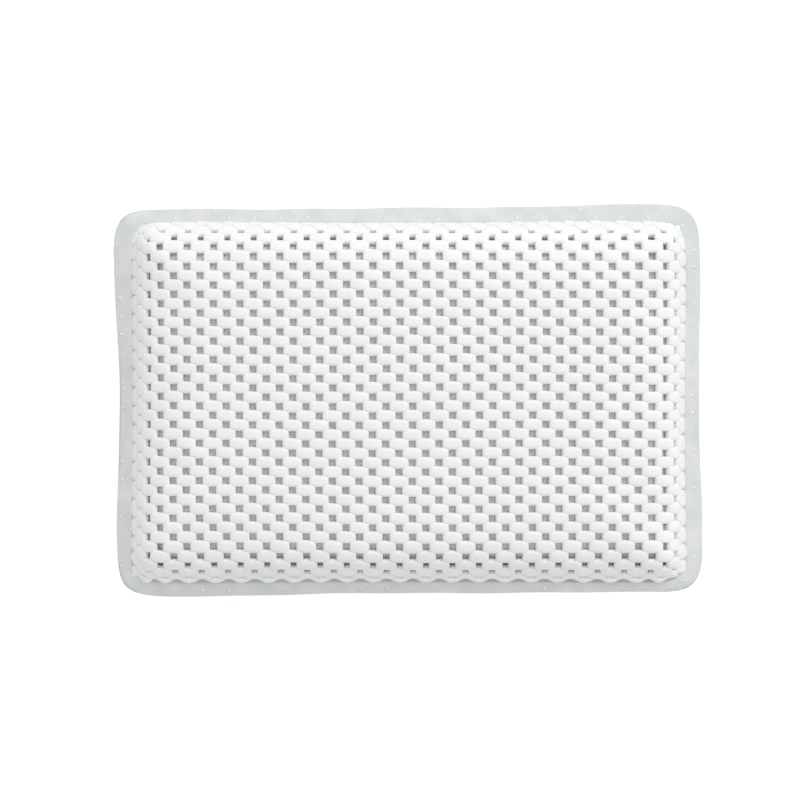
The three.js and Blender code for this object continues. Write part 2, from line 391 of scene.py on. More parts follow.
def made_by_nodes(name, tree, settings):
    """The mesh that a geometry node tree makes, as a plain object with no modifier left."""
    maker = add_object(name, [], [])
    modifier = maker.modifiers.new("Maker", "NODES")
    modifier.node_group = tree
    sockets = {item.name: item.identifier for item in tree.interface.items_tree if item.in_out == "INPUT"}
    for key, value in settings.items():
        modifier[sockets[key]] = value
    apply_modifier(maker, modifier)
    return maker


print("helpers are ready")

# %% [markdown]
# ## Foam and vinyl, as shared effects
# Two finishes come back on several pieces. Foamed vinyl has fine closed pores and a
# slightly cloudy white. Sheet vinyl has a pressed grain and shows a little handling.
# Each is built once as a group that puts out a height and a mask, and every material
# places it with its own scale.

# %% Shared shader effects
PORE_POWER = 0.6
FINE_GRAIN = 0.5


def foam_effect():
    """Pores and clouds of foamed vinyl: a height for the bump and a mask for the tone."""
    group, given = new_group("foam_pores", "ShaderNodeTree",
                             {"Pores per metre": "Float", "Clouds per metre": "Float"},
                             {"Height": "Float", "Cloud": "Float"})
    place = add_node(group, "ShaderNodeTexCoord").outputs["Object"]
    pores = add_node(group, "ShaderNodeTexVoronoi", {"Vector": place, "Scale": given["Pores per metre"]})
    clouds = add_node(group, "ShaderNodeTexNoise",
                      {"Vector": place, "Scale": given["Clouds per metre"], "Detail": 3})
    soft = add_node(group, "ShaderNodeMath", {0: pores.outputs["Distance"], 1: PORE_POWER}, operation="POWER")
    add_node(group, "NodeGroupOutput", {"Height": soft.outputs["Value"], "Cloud": clouds.outputs["Fac"]})
    return group


def vinyl_effect():
    """The pressed grain of sheet vinyl, and the slow mottling that light brings out."""
    group, given = new_group("vinyl_grain", "ShaderNodeTree",
                             {"Grains per metre": "Float", "Mottles per metre": "Float"},
                             {"Height": "Float", "Mottle": "Float"})
    place = add_node(group, "ShaderNodeTexCoord").outputs["Object"]
    grains, mottles = given["Grains per metre"], given["Mottles per metre"]
    grain = add_node(group, "ShaderNodeTexVoronoi", {"Vector": place, "Scale": grains}, feature="SMOOTH_F1")
    fine = add_node(group, "ShaderNodeTexNoise", {"Vector": place, "Scale": grains, "Detail": 2})
    mottle = add_node(group, "ShaderNodeTexNoise", {"Vector": place, "Scale": mottles, "Detail": 4})
    blend = add_node(group, "ShaderNodeMath", {
        0: fine.outputs["Fac"], 1: FINE_GRAIN, 2: grain.outputs["Distance"],
    }, operation="MULTIPLY_ADD")
    add_node(group, "NodeGroupOutput", {"Height": blend.outputs["Value"], "Mottle": mottle.outputs["Fac"]})
    return group


FOAM = foam_effect()
VINYL = vinyl_effect()


def finish_with(name, effect, values, tones, bump_depth, roughness):
    """A material whose relief, tone and roughness follow a shared effect, and its shader."""
    material, tree, shader = new_material(name)
    height, mask = add_node(tree, "ShaderNodeGroup", values, node_tree=effect).outputs
    tone = add_node(tree, "ShaderNodeMix", {
        "Factor": mask, "A": (*tones[0], 1), "B": (*tones[1], 1),
    }, data_type="RGBA")
    gloss = add_node(tree, "ShaderNodeMapRange", {
        "Value": mask, "To Min": roughness[0], "To Max": roughness[1],
    })
    bump = add_node(tree, "ShaderNodeBump", {"Height": height, "Distance": bump_depth})
    tree.links.new(tone.outputs["Result"], shader.inputs["Base Color"])
    tree.links.new(gloss.outputs["Result"], shader.inputs["Roughness"])
    tree.links.new(bump.outputs["Normal"], shader.inputs["Normal"])
    print(f"material {name} follows {effect.name}")
    return material, shader


nub_foam, _ = finish_with(
    "nub_foam", FOAM, {"Pores per metre": 2600, "Clouds per metre": 110},
    tones=[(0.84, 0.86, 0.855), (0.92, 0.93, 0.927)], bump_depth=0.05 * MM, roughness=(0.5, 0.66))
speck_foam, _ = finish_with(
    "speck_foam", FOAM, {"Pores per metre": 2600, "Clouds per metre": 300},
    tones=[(0.70, 0.73, 0.72), (0.87, 0.89, 0.885)], bump_depth=0.05 * MM, roughness=(0.4, 0.6))
pad_foam, _ = finish_with(
    "pad_foam", FOAM, {"Pores per metre": 1500, "Clouds per metre": 60},
    tones=[(0.76, 0.765, 0.765), (0.84, 0.845, 0.845)], bump_depth=0.4 * MM, roughness=(0.9, 1.0))

# %% [markdown]
# ## One nub of the net
# The net is foamed vinyl on a knitted scrim: offset rows of fat nubs, each touching four
# neighbours along a crease, with a square gap at each end and each side. One nub is
# enough to make them all. Its outline is set by the gaps, so where two nubs meet they
# share the same points and the net becomes one unbroken skin with holes through it. The
# creases that lean one way are deep, and the others are nearly filled.

# %% The nub
NUB_PERIOD = 13.6 * MM
ROW_PITCH = 4.775 * MM
GAP_WIDTH = 3.85 * MM
GAP_HEIGHT = 3.8 * MM
END_DROP = 0.45 * MM
DEEP_CREASE_HEIGHT = 3.2 * MM
SHALLOW_CREASE_HEIGHT = 3.7 * MM
GAP_EDGE_HEIGHT = 3.3 * MM
WALL_BULGE = 0.25 * MM
UNDERSIDE_HEIGHT = 0.35 * MM
NUB_ROUNDNESS = 4.8
END_POWER = 2.6
NUB_ROWS = np.array([-1, -0.82, -0.45, 0.45, 0.82, 1])

END_X = (NUB_PERIOD - GAP_WIDTH) / 2
END_Y = GAP_HEIGHT / 2
SIDE_X = GAP_WIDTH / 2
SIDE_Y = ROW_PITCH - GAP_HEIGHT / 2
CREASE_STEPS = 3


def nub_heights(x, across):
    """Height of a nub's top where x is along it, and across goes from -1 to 1 between its edges."""
    length = np.abs(x) / END_X
    crease = np.clip((np.abs(x) - SIDE_X) / (END_X - SIDE_X), 0, 1)
    ridge = NET_THICKNESS - END_DROP * length ** END_POWER
    crease_height = DEEP_CREASE_HEIGHT if x * across > 0 else SHALLOW_CREASE_HEIGHT
    edge = GAP_EDGE_HEIGHT + (crease_height - GAP_EDGE_HEIGHT) * 4 * crease * (1 - crease)
    return edge + (ridge - edge) * (1 - np.abs(across) ** NUB_ROUNDNESS)


def nub_cell():
    """One nub, open only at the four creases where its neighbours join on."""
    crease_x = np.linspace(SIDE_X, END_X, CREASE_STEPS + 1)
    columns = np.concatenate([-crease_x[::-1], [0], crease_x])
    last_column, last_row = len(columns) - 1, len(NUB_ROWS) - 1
    points, faces, crowns, seams, index = [], [], [], [], {}

    def put(key, x, y, z, crown=0.0, seam=0.0):
        index[key] = len(points)
        points.append((x, y, z))
        crowns.append(crown)
        seams.append(seam)

    for i, x in enumerate(columns):
        half = np.interp(abs(x), [SIDE_X, END_X], [SIDE_Y, END_Y])
        for j, across in enumerate(NUB_ROWS):
            crown = (1 - across ** 2) * (1 - (x / END_X) ** 2)
            deep = abs(across) == 1 and abs(x) >= SIDE_X and x * across > 0
            put(("top", i, j), x, across * half, nub_heights(x, across), crown, float(deep))
    for i in range(last_column):
        for j in range(last_row):
            corners = [(i, j), (i + 1, j), (i + 1, j + 1), (i, j + 1)]
            faces.append([index["top", *corner] for corner in corners])

    edge = [(i, 0) for i in range(last_column)]
    edge += [(last_column, j) for j in range(last_row)]
    edge += [(i, last_row) for i in range(last_column, 0, -1)]
    edge += [(0, j) for j in range(last_row, 0, -1)]
    for i, j in edge:
        x, y, z = points[index["top", i, j]]
        at_end = int(i in (0, last_column))
        at_side = int(j in (0, last_row) and abs(x) < SIDE_X + 1e-9)
        corner = int(j in (0, last_row) and (at_end or abs(abs(x) - SIDE_X) < 1e-9))
        out_x = np.sign(x) * (at_end - at_side * corner)
        out_y = np.sign(y) * (at_side - at_end * corner)
        if at_end or at_side:
            put(("wall", i, j), x + WALL_BULGE * out_x, y + WALL_BULGE * out_y, z / 2)
        put(("under", i, j), x - WALL_BULGE * out_x, y - WALL_BULGE * out_y, UNDERSIDE_HEIGHT)
    for here, after in zip(edge, edge[1:] + edge[:1]):
        if ("wall", *here) in index and ("wall", *after) in index:
            for upper, lower in (("top", "wall"), ("wall", "under")):
                corners = [(upper, *here), (lower, *here), (lower, *after), (upper, *after)]
                faces.append([index[corner] for corner in corners])
    faces.append([index["under", *key] for key in reversed(edge)])

    cell = add_object("nub_cell", points, faces)
    for name, values in (("crown", crowns), ("seam", seams)):
        cell.data.attributes.new(name, "FLOAT", "POINT").data.foreach_set("value", values)
    return cell


nub = nub_cell()
print(f"one nub: {len(nub.data.polygons)} faces, {2 * END_X / MM:.1f} by {2 * SIDE_Y / MM:.1f} mm")

# %% [markdown]
# ## The flat net
# Geometry Nodes suit a pattern like this: a grid of points, every other row shifted by
# half a period, the points outside the cut outline deleted, and a nub on each that is
# left. Each copy keeps a random number of its own for later. Merging the shared crease
# points then turns the copies into one net.

# %% Node tree for the net
JOIN_DISTANCE = 0.02 * MM


def net_tree():
    """Lays copies of a nub in offset rows inside a rounded outline and joins them."""
    tree, given = new_group("net_of_nubs", "GeometryNodeTree", {
        "Nub": "Object", "Period": "Float", "Row Pitch": "Float", "Columns": "Int", "Rows": "Int",
        "Shift": "Vector", "Middle X": "Float", "Middle Y": "Float", "Reach": "Float", "Seed": "Int",
        "Material": "Material",
    }, {"Net": "Geometry"})

    def reckon(operation, *values):
        return add_node(tree, "ShaderNodeMath", dict(enumerate(values)), operation=operation).outputs["Value"]

    def place():
        position = add_node(tree, "GeometryNodeInputPosition").outputs["Position"]
        return add_node(tree, "ShaderNodeSeparateXYZ", {"Vector": position}).outputs

    grid = add_node(tree, "GeometryNodeMeshGrid", {
        "Size X": reckon("MULTIPLY", given["Period"], reckon("SUBTRACT", given["Columns"], 1)),
        "Size Y": reckon("MULTIPLY", given["Row Pitch"], reckon("SUBTRACT", given["Rows"], 1)),
        "Vertices X": given["Columns"], "Vertices Y": given["Rows"],
    })
    row = reckon("ROUND", reckon("DIVIDE", place()["Y"], given["Row Pitch"]))
    odd = reckon("ABSOLUTE", reckon("MODULO", row, 2))
    half_period = reckon("MULTIPLY", reckon("MULTIPLY", odd, given["Period"]), 0.5)
    stagger = add_node(tree, "ShaderNodeCombineXYZ", {"X": half_period})
    shift = add_node(tree, "ShaderNodeVectorMath", {0: stagger.outputs["Vector"], 1: given["Shift"]})
    move = add_node(tree, "GeometryNodeSetPosition", {
        "Geometry": grid.outputs["Mesh"], "Offset": shift.outputs["Vector"],
    })

    moved, powers = place(), []
    for axis in "XY":
        over = reckon("SUBTRACT", reckon("ABSOLUTE", moved[axis]), given[f"Middle {axis}"])
        share = reckon("DIVIDE", reckon("MAXIMUM", over, 0), given["Reach"])
        powers.append(reckon("POWER", share, CORNER_POWER))
    outside = add_node(tree, "FunctionNodeCompare", {"A": reckon("ADD", *powers), "B": 1},
                       operation="GREATER_THAN")
    trim = add_node(tree, "GeometryNodeDeleteGeometry", {
        "Geometry": move.outputs["Geometry"], "Selection": outside.outputs["Result"],
    })

    source = add_node(tree, "GeometryNodeObjectInfo", {"Object": given["Nub"]})
    copies = add_node(tree, "GeometryNodeInstanceOnPoints", {
        "Points": trim.outputs["Geometry"], "Instance": source.outputs["Geometry"],
    })
    chance = add_node(tree, "FunctionNodeRandomValue", {2: -1, "Seed": given["Seed"]})
    mark = add_node(tree, "GeometryNodeStoreNamedAttribute", {
        "Geometry": copies.outputs["Instances"], "Name": "chance", "Value": chance.outputs[1],
    }, domain="INSTANCE")
    solid = add_node(tree, "GeometryNodeRealizeInstances", {"Geometry": mark.outputs["Geometry"]})
    weld = add_node(tree, "GeometryNodeMergeByDistance", {
        "Geometry": solid.outputs["Geometry"], "Distance": JOIN_DISTANCE,
    })
    paint = add_node(tree, "GeometryNodeSetMaterial", {
        "Geometry": weld.outputs["Geometry"], "Material": given["Material"],
    })
    add_node(tree, "NodeGroupOutput", {"Net": paint.outputs["Geometry"]})
    return tree


# %% Lay the flat net
NET_SHIFT = (2.05 * MM, -2.4 * MM, 0)
PAST_FOOT = 4.4 * MM
NET_TRIM = NET_FOOT + PAST_FOOT
net_columns = 2 * math.ceil((MIDDLE_X + NET_TRIM) / NUB_PERIOD) + 2
net_rows = 2 * math.ceil((MIDDLE_Y + NET_TRIM) / ROW_PITCH) + 3
net = made_by_nodes("foam_net", net_tree(), {
    "Nub": nub, "Period": NUB_PERIOD, "Row Pitch": ROW_PITCH, "Columns": net_columns,
    "Rows": net_rows, "Shift": NET_SHIFT, "Middle X": MIDDLE_X, "Middle Y": MIDDLE_Y,
    "Reach": NET_TRIM, "Seed": 7, "Material": nub_foam,
})
bpy.data.objects.remove(nub)
print(f"flat net: {len(net.data.vertices)} points, {len(net.data.polygons)} faces")

# %% [markdown]
# ## The pad
# The pad is a block of soft foam, cut with a rounded edge and squeezed under the net. A
# cut block would look machined, so the pad starts a little small and is swollen as cloth
# with air pressure inside, held along the foot. It ends plump, as a pressed pad does.
# How far each point rose is kept, because the net over it has to rise with it.

# %% Make the pad and swell it
PAD_SWELL = 1.5 * MM
POCKET_RADIUS = 7.5 * MM
POCKET_RIM = 5 * MM
POCKET_DEPTH = 4.4 * MM
PAD_CAP = 3.0 * MM
PAD_VOXEL = 5 * MM
PAD_PRESSURE = 4.0
PAD_FRAMES = 20
PAD_QUALITY = 6
PAD_HELD_HEIGHT = 1.5 * MM
PAD_LEAST_HEIGHT = 0.5 * MM
PAD_LEAST_REACH = 1 * MM
PAD_SECTION_END = 2 * MM
PAD_TOP_SHARES = (0.8, 0.55, 0.3)
FOLLOW_SHARE = 0.6
FOLLOW_FADE = 14 * MM
FOLLOW_NEIGHBOURS = 28
FOLLOW_REACH = 10 * MM


def pad_section(inset, count=10):
    """The pad's section from its foot up, an inset inside the net's: reach, height, share of the rise."""
    along = np.linspace(SECTION["foot"], PAD_SECTION_END, 300)
    reach = np.interp(along, SECTION["along"], SECTION["reach"])
    share = np.interp(along, SECTION["along"], SECTION["share"])
    out, up = np.gradient(ROLL_HEIGHT * share), -np.gradient(reach)
    size = np.hypot(out, up)
    reach = reach - inset * out / size
    height = HEM_TOP + ROLL_HEIGHT * share - inset * up / size
    kept = np.flatnonzero((height > SHEET_TOP + PAD_LEAST_HEIGHT) & (reach > PAD_LEAST_REACH))
    kept = kept[np.linspace(0, len(kept) - 1, count).astype(int)]
    return zip(reach[kept], height[kept], share[kept])


def crown_rise(plan):
    """How far the crown lifts the cushion at plan points."""
    return CROWN_RISE * (1 - (plan[:, 0] / FOOT_X) ** 2) * (1 - (plan[:, 1] / FOOT_Y) ** 2)


def pad_start(inset):
    """The pad as cut: the cushion's shape less an inset, closed below on the back sheet."""
    rings = []
    for reach, height, share in pad_section(inset):
        plan = cushion_ring(reach)
        rings.append(at_height(plan, height + crown_rise(plan) * share))
    rings.insert(0, at_height(rings[0][:, :2], SHEET_TOP))
    for share in PAD_TOP_SHARES:
        plan = rings[-1][:, :2] * share
        rings.append(at_height(plan, HEM_TOP + ROLL_HEIGHT - inset + crown_rise(plan)))
    points, faces = ring_skin(rings)
    count = len(rings[0])
    faces.append(range(count - 1, -1, -1))
    faces.append(range(len(points) - count, len(points)))
    return add_object("foam_pad", points, faces)


def cup_pockets(points):
    """How far the pad's underside is hollowed out over the head of each suction cup."""
    lift = np.zeros(len(points))
    for place in cup_places:
        rim = np.clip(1 - (away_from(place, points) - POCKET_RADIUS) / POCKET_RIM, 0, 1)
        lift = np.maximum(lift, POCKET_DEPTH * rim)
    return lift


def remeshed(piece, voxel):
    """Evens a piece's faces out with a voxel remesh."""
    modifier = piece.modifiers.new("Even", "REMESH")
    modifier.mode = "VOXEL"
    modifier.voxel_size = voxel
    modifier.use_smooth_shade = True
    apply_modifier(piece, modifier)


def swollen(piece, held):
    """Where a piece's points go when it is blown up as cloth, with the held points fixed."""
    group = piece.vertex_groups.new(name="held")
    group.add([int(i) for i in np.flatnonzero(held)], 1, "REPLACE")
    cloth = piece.modifiers.new("Cloth", "CLOTH")
    cloth.settings.quality = PAD_QUALITY
    cloth.settings.use_pressure = True
    cloth.settings.uniform_pressure_force = PAD_PRESSURE
    cloth.settings.vertex_group_mass = "held"
    cloth.settings.effector_weights.gravity = 0
    cloth.point_cache.frame_start = 1
    cloth.point_cache.frame_end = PAD_FRAMES
    scene = bpy.context.scene
    for number in range(1, PAD_FRAMES + 1):
        scene.frame_set(number)
    result = get_points(piece.evaluated_get(bpy.context.evaluated_depsgraph_get()).data)
    piece.modifiers.remove(cloth)
    piece.vertex_groups.remove(group)
    scene.frame_set(1)
    return result


def follow_pad(points):
    """Lifts points as far as the pad near them rose, softly blended, and less towards the weld."""
    tree = KDTree(len(pad_cut))
    for i, point in enumerate(pad_cut):
        tree.insert(point, i)
    tree.balance()
    share = FOLLOW_SHARE * smooth_step((points[:, 2] - SHEET_TOP) / FOLLOW_FADE)
    moved = points.copy()
    for i in np.flatnonzero(share):
        found = tree.find_n(points[i], FOLLOW_NEIGHBOURS)
        near = np.array([item[1] for item in found])
        away = np.array([item[2] for item in found])
        weight = np.exp((away[0] ** 2 - away ** 2) / FOLLOW_REACH ** 2)
        moved[i, 2] += share[i] * (weight @ pad_extra[near, 2]) / weight.sum()
    return moved


pad = pad_start(NET_THICKNESS - UNDERSIDE_HEIGHT + PAD_SWELL)
remeshed(pad, PAD_VOXEL)
pad_cut = get_points(pad.data)
pad_held = pad_cut[:, 2] < SHEET_TOP + PAD_HELD_HEIGHT
pad_normals = vectors_of(pad.data.vertex_normals, "vector")
pad_now = pad_cut + pad_normals * (PAD_SWELL * ~pad_held)[:, None]
pad_move = swollen(pad, pad_held) - pad_cut
distance = np.linalg.norm(pad_move, axis=1, keepdims=True)
pad_extra = pad_move * np.minimum(1, PAD_CAP / np.maximum(distance, 1e-9)) + pad_cut - pad_now
pad_now = follow_pad(pad_now)
print(f"the pad swelled {distance.mean() / MM:.2f} mm on average, {distance.max() / MM:.2f} mm at most")
pad_now[:, 2] += np.where(pad_held, cup_pockets(pad_now), 0)
set_points(pad.data, pad_now)

# %% [markdown]
# ## The net, drawn over the pad
# The flat net is first closed at its cut edge. A slow wave bends its rows a little, and
# each nub stands slightly higher or lower than the next, as foam does. Then every point
# is laid on the cushion, thinned where the hem is pressed, and lifted as far as the pad
# under it rose. Near the weld the gaps are squeezed shut, and along the front the last
# row of nubs stands off the hem. Deep creases stay sharp, so the nubs read as beads.

# %% Draw the net over the pad
ROW_WAVE = 0.28 * MM
WAVE_ALONG = (23 * MM, 0.7, 61 * MM)
WAVE_ACROSS = (29 * MM, 1.9, 47 * MM)
NUB_UNEVENNESS = 0.22 * MM
PRESSED_SHARE = 0.14
PRESS_START = 1.0 * MM
PRESS_BACK = 1.4 * MM
PRESS_FRONT = -2.0 * MM
PRESS_LENGTH = 2.4 * MM
PRESSED_SINK = 0.45 * MM
SHUT_SHARE = 0.96
SHUT_FRONT = -0.12
SHUT_START = 8 * MM
SHUT_LEFT = 4.5 * MM
SHUT_LENGTH = 4.5 * MM
SHUT_END = 1.5 * MM
SHUT_END_LENGTH = 2 * MM
SHUT_LEFT_FADE = 2
SQUEEZE_ROWS = 0.9
SQUEEZE_EDGE = 0.2
SQUEEZE_SOFTNESS = 0.86
NARROW_SHARE = 0.24
NARROW_START = 20 * MM
NARROW_LENGTH = 9 * MM
FRONT_SCALLOP = 0.75 * MM
FRONT_LIP = 2.2 * MM
NOTCH_LIP = 1.9 * MM
LIP_LENGTH = 5 * MM
NET_CLEAR = 0.5 * MM


def close_edges(mesh):
    """Fills the open creases along the cut edge of the net."""
    shape = bmesh.new()
    shape.from_mesh(mesh)
    bmesh.ops.holes_fill(shape, edges=[edge for edge in shape.edges if edge.is_boundary], sides=0)
    bmesh.ops.recalc_face_normals(shape, faces=shape.faces)
    left_open = sum(edge.is_boundary for edge in shape.edges)
    shape.to_mesh(mesh)
    shape.free()
    return left_open


def keep_seams_sharp(mesh):
    """Marks the crease edges sharp, so that smooth shading stops at them."""
    seam = point_values(mesh, "seam") > 0.5
    ends = np.empty(2 * len(mesh.edges), dtype=np.int32)
    mesh.edges.foreach_get("vertices", ends)
    sharp = seam[ends].reshape(-1, 2).all(axis=1)
    mesh.attributes.new("sharp_edge", "BOOLEAN", "EDGE").data.foreach_set("value", sharp)


def add_flat_map(mesh, u, v):
    """Stores the flat place of each point as a UV map, in metres."""
    layer = mesh.uv_layers.new(name="flat")
    corner = np.empty(len(mesh.loops), dtype=np.int32)
    mesh.loops.foreach_get("vertex_index", corner)
    layer.uv.foreach_set("vector", np.column_stack([u[corner], v[corner]]).ravel())


def row_wave(along, across, length, sway, sway_length):
    """The slow wave that bends the rows of the net."""
    return ROW_WAVE * np.sin(along / length + sway * np.sin(across / sway_length))


def shut_share(u, v):
    """How far the gaps are squeezed shut near the weld. At the front the last row of gaps stays open."""
    past, front = past_foot(u, v), long_side_share(u, v, -1)
    start = SHUT_START + SHUT_LEFT * smooth_step(-(u + MIDDLE_X) / ROLL_WIDTH * SHUT_LEFT_FADE)
    open_again = front * smooth_step((past + SHUT_END) / SHUT_END_LENGTH)
    return (SHUT_SHARE + SHUT_FRONT * front) * smooth_step((past + start) / SHUT_LENGTH) * (1 - open_again)


def nub_place(row):
    """Where the nubs of a row lie along it, as a share of the period."""
    return 0.5 * (row % 2) + 0.5 * (net_columns % 2 == 0)


def squeezed(u, v):
    """Flat points moved towards the middle of the gap they border: gaps are narrower on the slope."""
    row = np.round((v - NET_SHIFT[1]) / ROW_PITCH)
    move_u, move_v = np.zeros_like(u), np.zeros_like(v)
    far_u, far_v = NUB_PERIOD / 2, SQUEEZE_ROWS * ROW_PITCH
    for step in (-1, 0, 1):
        turn = (u - NET_SHIFT[0]) / NUB_PERIOD - nub_place(row + step) - 0.5
        beside = (turn - np.round(turn)) * NUB_PERIOD
        across = v - NET_SHIFT[1] - (row + step) * ROW_PITCH
        near_u = np.clip((far_u - np.abs(beside)) / (far_u - GAP_WIDTH / 2), 0, 1)
        near_v = np.clip((far_v - np.abs(across)) / (far_v - GAP_HEIGHT / 2), 0, 1)
        move_u -= beside * near_u * near_v
        in_gap = smooth_step((np.cos(2 * math.pi * turn) + SQUEEZE_EDGE) / SQUEEZE_SOFTNESS)
        move_v -= across * near_v * in_gap
    narrow = NARROW_SHARE * smooth_step((past_foot(u, v) + NARROW_START) / NARROW_LENGTH)
    return u + move_u * narrow, v + move_v * shut_share(u, v)


def front_lip(u, v, points):
    """Lifts the last front row off the hem: each nub bulges out, and the net is drawn in between."""
    last_row = np.round((flat_net[:, 1].min() - NET_SHIFT[1]) / ROW_PITCH + 0.5)
    wave = np.cos(2 * math.pi * ((u - NET_SHIFT[0]) / NUB_PERIOD - nub_place(last_row)))
    part = long_side_share(u, v, -1) * smooth_step((past_foot(u, v) + LIP_LENGTH) / LIP_LENGTH)
    points[:, 1] -= FRONT_SCALLOP * wave * part
    points[:, 2] += (NOTCH_LIP + (FRONT_LIP - NOTCH_LIP) * (1 + wave) / 2) * part
    return points


def above_sheet(u, v, points):
    """Keeps the net's underside clear of the back sheet."""
    hem_part = hem_share(on_section(u, v, "reach"))
    lowest = SHEET_TOP + NET_CLEAR - droop(points[:, 0], points[:, 1], hem_part)
    points[:, 2] = np.maximum(points[:, 2], lowest)
    return points


open_edges = close_edges(net.data)
flat_net = get_points(net.data)
flat_u, flat_v = flat_net[:, 0], flat_net[:, 1]
u, v = squeezed(flat_u, flat_v)
u += row_wave(flat_v, flat_u, *WAVE_ALONG)
v += row_wave(flat_u, flat_v, *WAVE_ACROSS)
chance, crown = point_values(net.data, "chance"), point_values(net.data, "crown")
height = flat_net[:, 2] + NUB_UNEVENNESS * (chance - 1) / 2 * crown
press_start = PRESS_START + PRESS_BACK * long_side_share(u, v, 1) + PRESS_FRONT * long_side_share(u, v, -1)
pressing = smooth_step((past_foot(u, v) + press_start) / PRESS_LENGTH)
pressed = (height - NET_THICKNESS) * (1 - (1 - PRESSED_SHARE) * pressing) - PRESSED_SINK * pressing
laid = front_lip(u, v, wrapped(u, v, pressed))
add_flat_map(net.data, u, v)
set_points(net.data, above_sheet(u, v, follow_pad(laid)))
keep_seams_sharp(net.data)
net.data.polygons.foreach_set("use_smooth", [True] * len(net.data.polygons))
print(f"net: {len(net.data.polygons)} faces, {open_edges} open edges left")

# %% Finish the pad
pad.data.materials.append(pad_foam)
pad_smooth = pad.modifiers.new("Smooth", "SUBSURF")
pad_smooth.levels = pad_smooth.render_levels = 1
print(f"pad: {len(pad.data.polygons)} faces before smoothing")

# %% [markdown]
# ## The pressed hem
# Round the cushion the net has been pressed hot until the foam fused into a thin, half
# clear grey strip. It isn't quite flat: its edge lifts and dips, the weld has sunk into a
# groove at the foot, and the pattern of the net still shows as a faint relief. A ring of
# sections swept round the outline makes it.

# %% Sweep the hem
HEM_TUCK = 1.6 * MM
# Each row: how far past the foot, the groove's depth, and its depth along the front.
WELD_GROOVE = [
    (-HEM_TUCK, 0.4 * MM, 1.05 * MM),
    (-0.3 * MM, 0.4 * MM, 1.05 * MM),
    (0.6 * MM, 0, 0.95 * MM),
]
GROOVE_END = 1.5 * MM
HEM_RELIEF = 0.10 * MM
HEM_RIPPLE = 0.35 * MM
RIPPLE_WAVES = [(1, 7, 0.6), (0.7, 12, 2.2), (0.4, 23, 0)]
RIPPLE_SUM = 2.1
FRONT_FADE = 1.6
HEM_EDGE_ROUND = 0.35 * MM
HEM_STEPS = 9
FINE_RING = {"corner_steps": 26, "long_steps": 190, "short_steps": 112}


def hem_ripple(plan, hem):
    """How far the hem lifts off its plane, more towards its edge."""
    angle = np.arctan2(plan[:, 1] / HALF_WIDTH, plan[:, 0] / HALF_LENGTH)
    wave = sum(share * np.sin(turns * angle + phase) for share, turns, phase in RIPPLE_WAVES)
    return HEM_RIPPLE * hem ** 2 * wave / RIPPLE_SUM - droop(plan[:, 0], plan[:, 1], hem)


def net_relief(plan):
    """The faint print of the net's rows, from -1 to 1."""
    across = np.cos(2 * math.pi * (plan[:, 0] - NET_SHIFT[0]) / NUB_PERIOD)
    return across * np.cos(math.pi * (plan[:, 1] - NET_SHIFT[1]) / ROW_PITCH)


def hem_ring(reach, z, relief=0.0, groove=0.0, front_groove=0.0):
    """One closed line of points round the hem. The weld's groove is deeper along the front."""
    plan = cushion_ring(reach, **FINE_RING)
    front = smooth_step(-(plan[:, 1] + MIDDLE_Y) / ROLL_WIDTH * FRONT_FADE)
    z = z - groove - (front_groove - groove) * front
    return at_height(plan, z + hem_ripple(plan, hem_share(reach)) + relief * net_relief(plan))


def make_hem():
    """The hem as one closed ring: the groove of the weld, top face, rounded edge, under face."""
    inside, outside = ROLL_WIDTH - HEM_TUCK, ROLL_WIDTH + HEM_WIDTH
    rings = [hem_ring(inside, SHEET_TOP)]
    for past, groove, front_groove in WELD_GROOVE:
        rings.append(hem_ring(ROLL_WIDTH + past, HEM_TOP - HEM_RELIEF, 0, groove, front_groove))
    for reach in np.linspace(ROLL_WIDTH + GROOVE_END, outside - HEM_EDGE_ROUND, HEM_STEPS)[:-1]:
        rings.append(hem_ring(reach, HEM_TOP - HEM_RELIEF, HEM_RELIEF))
    for turn in np.radians([90, 60, 30, 0]):
        reach = outside - HEM_EDGE_ROUND * (1 - math.cos(turn))
        rings.append(hem_ring(reach, HEM_TOP - HEM_RELIEF - HEM_EDGE_ROUND * (1 - math.sin(turn))))
    rings.append(hem_ring(outside, SHEET_TOP))
    points, faces = ring_skin(rings, closed_section=True)
    return add_object("pressed_hem", points, [face[::-1] for face in faces])


hem = make_hem()
hem_vinyl, hem_shader = finish_with(
    "hem_vinyl", VINYL, {"Grains per metre": 900, "Mottles per metre": 95},
    tones=[(0.58, 0.61, 0.60), (0.795, 0.815, 0.81)], bump_depth=0.08 * MM, roughness=(0.28, 0.5))
hem_shader.inputs["Coat Weight"].default_value = 0.15
hem.data.materials.append(hem_vinyl)
print(f"hem: {len(hem.data.polygons)} faces")

# %% [markdown]
# ## Specks in the hem
# Where a nub was too thick to melt through, a white speck of foam is left in the hem, at
# the place that the nub has in the net. So the specks are small flat domes on the same
# offset rows, scattered by Geometry Nodes with a size of their own.

# %% Place the specks
SPECK_WIDTH = 2.5 * MM
SPECK_HEIGHT = 0.2 * MM
SPECK_MARGIN = 1.5 * MM
SPECK_START = 1.6 * MM
SPECK_CROWDING = 0.92
SPECK_JITTER = 0.55 * MM
SPECK_SIZES = (0.45, 1.0)
SPECK_COLUMNS = 30
SPECK_ROWS = 60
DOME_RINGS = [(1, -0.3), (0.72, 0.62)]
SPECK_PUSH = {"left": -1.2 * MM, "right": 0, "front": -1.5 * MM, "back": 0.9 * MM}


